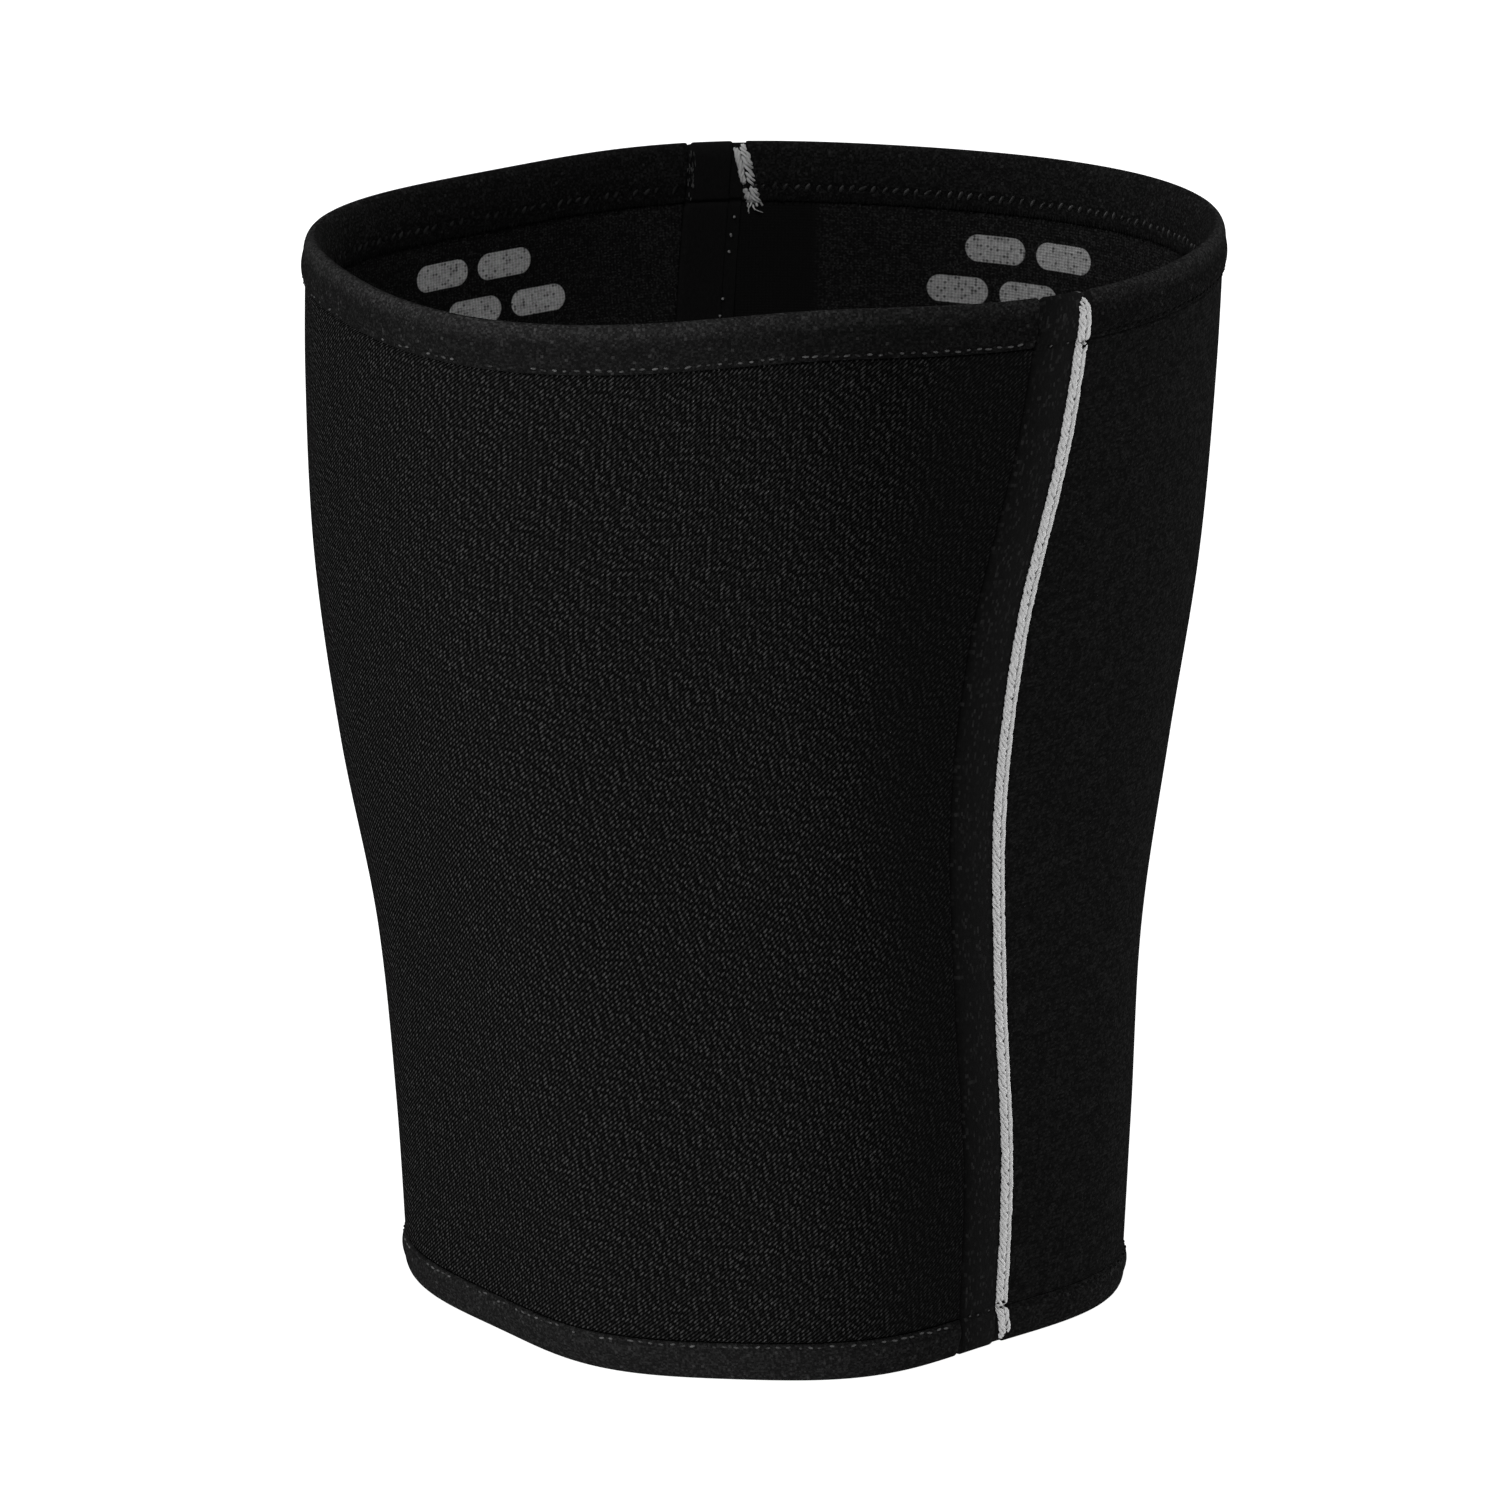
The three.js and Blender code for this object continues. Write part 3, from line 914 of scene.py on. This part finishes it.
STITCH_MAP = 500
STITCH_PITCH = 2.2
BEAD_PITCH = 2.45
FRINGE_PITCH = 0.85
DOT_PITCH = 3.55
LOCK_STITCH = {"long": 1.15, "wide": 0.5, "proud": 0.4, "slant": 0}
BEAD = {"long": 2.3, "wide": 1.0, "proud": 0.9, "slant": 122}
LOOP = {"long": 1.9, "wide": 0.6, "proud": 0.5, "slant": 55}
FRINGE = {"long": 2.0, "wide": 0.42, "proud": 0.4, "slant": 90}
STRIP_STITCH = {"long": 0.6, "wide": 0.3, "proud": 0.4, "slant": 20}
SEAM_DOT = {"long": 0.75, "wide": 0.6, "proud": 0.4, "slant": 70}
PINCH_THREAD = {"long": 3.2, "wide": 0.6, "proud": 0.6, "slant": 12}
FLUFF = {"long": 1.1, "wide": 0.28, "proud": 0.3, "slant": 90}
TAIL_THREAD = {"long": 2.2, "wide": 0.7, "proud": 0.7, "slant": 160}


def sewing_thread(name, dark, light, shine=0, bright_from=10):
    """Thread of uneven tone, lighter past the share of the girth that bright_from gives."""
    thread = Finish(name, Specular_IOR_Level=shine)
    across, up = thread.cut()
    tone = thread.noise(thread.joined(across, up), 0.35, 3).ramp(0.3, 0.7)
    bright = (across / STITCH_MAP).ramp(bright_from - 0.02, bright_from)
    colour = thread.blend(tone + bright * (1 - tone) * 0.7, grey(dark), grey(light))
    return thread.dress(colour, thread.noise(thread.joined(across, up), 4, 2), 0.05, 0.45)


def bead_template():
    """The points and faces of a small round bead, one unit long."""
    bpy.ops.object.select_all(action="DESELECT")
    bpy.ops.mesh.primitive_uv_sphere_add(segments=8, ring_count=6, radius=0.5)
    ball = bpy.context.object
    points = np.array([vertex.co[:] for vertex in ball.data.vertices])
    faces = [list(face.vertices) for face in ball.data.polygons]
    bpy.ops.object.delete()
    return points, faces


bead_points, bead_faces = bead_template()
chance = np.random.default_rng(5)


def sew(name, share, z, out, finish, long, wide, proud, slant):
    """A row of stitches in one mesh. Each is a bead stretched along a slant and set on the wall."""
    count = len(share)
    tilt = np.radians(slant + 10 * chance.standard_normal(count))[:, None]
    stretch = (1 + 0.18 * chance.standard_normal(count)).clip(0.5, 1.5)[:, None]
    along = bead_points[None, :, 0] * long * stretch
    side = bead_points[None, :, 1] * wide
    across = along * np.cos(tilt) - side * np.sin(tilt)
    up = along * np.sin(tilt) + side * np.cos(tilt)
    height = z[:, None] + up + 0.12 * chance.standard_normal((count, 1))
    at = share[:, None] + (across + 0.12 * chance.standard_normal((count, 1))) / girth_at(z)[:, None]
    depth = np.broadcast_to(out + bead_points[None, :, 2] * proud, height.shape)
    points = on_wall(height.ravel(), at.ravel(), depth.ravel())
    cut = np.stack([at.ravel() * STITCH_MAP, height.ravel()], axis=1) / METRE
    firsts = range(0, count * len(bead_points), len(bead_points))
    faces = [[first + corner for corner in face] for first in firsts for face in bead_faces]
    row = mesh_piece(name, points, cut, faces, finish)


def thinned(share, kept):
    """The places that keep their stitch, by a chance for each."""
    return share[chance.random(len(share)) < kept]


def row_shares(span, z, pitch):
    """Even places for stitches across a span at a height."""
    height = np.array([float(z)])
    first = span[0](height)[0]
    last = span[1](height)[0]
    wide = (last - first) * girth_at(z)
    count = int((wide - 2) / pitch)
    return first + (1 + pitch * (np.arange(count) + 0.5)) / wide * (last - first)


grey_thread = sewing_thread("grey_thread", 0.006, 0.055, bright_from=0.83)
bead_thread = sewing_thread("bead_thread", 0.004, 0.025, 0.12)
shaded_thread = sewing_thread("shaded_thread", 0.003, 0.019)
dark_thread = sewing_thread("dark_thread", 0.003, 0.008)
dot_thread = sewing_thread("dot_thread", 0.12, 0.2)
lint_thread = sewing_thread("lint_thread", 0.01, 0.06)
inner_face = -WALL - HEM_PROUD
# Painted shade: the main panel's inner beads take the shaded thread, the rear's outer stitches the dark
# thread.
for panel_name, span, thread, beads in (
    ("main", main_span, grey_thread, shaded_thread),
    ("rear", rear_span, dark_thread, bead_thread),
):
    for end, hem, level in (("top", TOP_HEM, HEIGHT), ("bottom", BOTTOM_HEM, 0)):
        sign = -1 if end == "top" else 1
        z = level + sign * OUTER_STITCH[end]
        share = row_shares(span, z, STITCH_PITCH)
        share = thinned(share, np.where(share % 1 < 0.68, 0.6, 0.96))
        row = np.full(len(share), z)
        name = panel_name + "_" + end
        sew(name + "_stitches", share, row, HEM_PROUD + 0.02, thread, **LOCK_STITCH)
        z = level + sign * INNER_STITCH[end]
        share = row_shares(span, z, BEAD_PITCH)
        row = np.full(len(share), z)
        sew(name + "_beads", share, row, inner_face - 0.12, beads, **BEAD)
        share = share + 1.2 / girth_at(z)
        sew(name + "_loops", share, row, inner_face - 0.12, dark_thread, **LOOP)
        z = level + sign * (hem["inside"] - 0.9)
        share = row_shares(span, z, FRINGE_PITCH)
        row = np.full(len(share), z)
        sew(name + "_fringe", share, row, inner_face - 0.02, dark_thread, **FRINGE)

for strip_name, span in strip_spans.items():
    for end, z in (("top", HEIGHT - 9.9), ("bottom", 8.6)):
        share = thinned(row_shares(span, z, 1.3), 0.7)
        row = np.full(len(share), z)
        sew(strip_name + "_" + end + "_stitches", share, row, 0.12, grey_thread, **STRIP_STITCH)
for seam in ("near", "far"):
    z = np.arange(21.7, 215, DOT_PITCH)
    z = z[chance.random(len(z)) < 0.88]
    drift = 3 * (1 - np.exp((z - 214) / 28)) - 0.1
    share = wall_row(seam, z) + (drift if seam == "far" else -drift) / girth_at(z)
    sew(seam + "_seam_dots", share, z, -WALL - 0.05, dot_thread, **SEAM_DOT)
    z = np.array([BOTTOM_HEM["outside"] + 1.2, HEIGHT - TOP_HEM["outside"] - 1.2])
    sew(seam + "_pinch_threads", wall_row(seam, z), z, 0.42, dark_thread, **PINCH_THREAD)
    z = HEIGHT - 1.5 - 10.5 * chance.random(26)
    panel_side = strip_spans[seam + "_seam_strip"][seam == "far"]
    edge = panel_side(z) + 0.5 * chance.standard_normal(len(z)) / girth_at(z)
    sew(seam + "_strip_fluff", edge, z, inner_face - 0.08, lint_thread, **FLUFF)
    z = np.array([HEIGHT - INNER_STITCH["top"]])
    share = wall_row(seam, z) - 2.2 / girth_at(z)
    sew(seam + "_tail_thread", share, z, -WALL - 0.7, dark_thread, **TAIL_THREAD)

# Stage: a plain pale table of lit opal, a key spot from the front, five soft lamps at the left, front,
# right, back and above, and a dim even sky.

TABLE_GLOW = 0.98
bpy.ops.object.select_all(action="DESELECT")
bpy.ops.mesh.primitive_plane_add(size=7, location=(0, 0, 0))
floor = bpy.context.object
floor.name = "floor"
opal = Finish("pale_opal", Specular_IOR_Level=0.1, Emission_Strength=TABLE_GLOW, Emission_Color=grey(1))
grain = opal.noise(opal.node("ShaderNodeTexCoord", {}, {}).read("Object"), 40, 3)
opal.dress(opal.blend(grain, grey(0.2), grey(0.22)), grain, 0.05, 0.9)
opal.material.cycles.emission_sampling = "NONE"
floor.data.materials.append(opal.material)

TARGET = (-0.003, -0.0006, 0.1183)


def add_lamp(name, place, size, power):
    """A soft lamp of a width and a height that faces the sleeve's middle."""
    bpy.ops.object.light_add(type="AREA", location=place)
    lamp = bpy.context.object
    lamp.name = name
    lamp.data.shape = "RECTANGLE"
    lamp.data.size = size[0]
    lamp.data.size_y = size[1]
    lamp.data.energy = power
    away = lamp.location - Vector(TARGET)
    lamp.rotation_euler = away.to_track_quat("Z", "Y").to_euler()


# The key lamp is a wide spot aimed to the left: its beam ends a little right of the sleeve's middle
KEY_AWAY = 1.6
KEY_TURN = math.radians(-105)
BEAM_EDGE = Vector((0.006, -0.075, 0.13))
BEAM_HALF = math.radians(60)
BEAM_INSET = math.radians(0.9)
BEAM_LEAN = math.radians(3)
BEAM_BLEND = 0.042
KEY_POWER = 120
KEY_SIZE = 0.012
key_way = Vector((math.cos(KEY_TURN), math.sin(KEY_TURN), 0))
key_left = Vector((math.sin(KEY_TURN), -math.cos(KEY_TURN), 0))
beam_side = key_left * math.cos(BEAM_LEAN) - Vector((0, 0, 1)) * math.sin(BEAM_LEAN)
beam_back = key_way * math.cos(BEAM_HALF - BEAM_INSET) - beam_side * math.sin(BEAM_HALF - BEAM_INSET)
bpy.ops.object.light_add(type="SPOT", location=BEAM_EDGE + key_way * KEY_AWAY)
key_lamp = bpy.context.object
key_lamp.name = "key_lamp"
key_lamp.rotation_euler = beam_back.to_track_quat("Z", "Y").to_euler()
key_lamp.data.energy = KEY_POWER
key_lamp.data.spot_size = BEAM_HALF * 2
key_lamp.data.spot_blend = BEAM_BLEND
key_lamp.data.shadow_soft_size = KEY_SIZE
add_lamp("left_lamp", (-2.2, 0.15, 0.6), (1.2, 0.9), 46)
add_lamp("front_lamp", (-0.3, -1.5, 1.9), (1.2, 1.2), 38)
add_lamp("right_lamp", (2.2, 0.3, 0.35), (1.2, 0.6), 15)
add_lamp("back_lamp", (1.6, 1.35, 0.35), (1.2, 0.6), 60)
add_lamp("top_lamp", (-0.3, 1.3, 1.9), (1.6, 1.6), 30)

sky = bpy.data.worlds.new("studio_sky")
sky.use_nodes = True
sky.node_tree.nodes["Background"].inputs["Color"].default_value = grey(1)
sky.node_tree.nodes["Background"].inputs["Strength"].default_value = 0.01
bpy.context.scene.world = sky
bpy.context.scene.view_settings.view_transform = "Standard"

# Camera: in front of the sleeve and a little above it. Its lens is long, so the sleeve's sides keep
# their lines, and the whole sleeve stands in the middle of the picture.

CAMERA_RISE = math.radians(17)
CAMERA_AWAY = 1.8
bpy.ops.object.camera_add(
    location=(
        TARGET[0],
        TARGET[1] - CAMERA_AWAY * math.cos(CAMERA_RISE),
        TARGET[2] + CAMERA_AWAY * math.sin(CAMERA_RISE),
    ),
    rotation=(math.pi / 2 - CAMERA_RISE, 0, 0),
)
camera = bpy.context.object
camera.name = "camera"
camera.data.sensor_width = 36
camera.data.lens = 206.9
bpy.context.scene.camera = camera
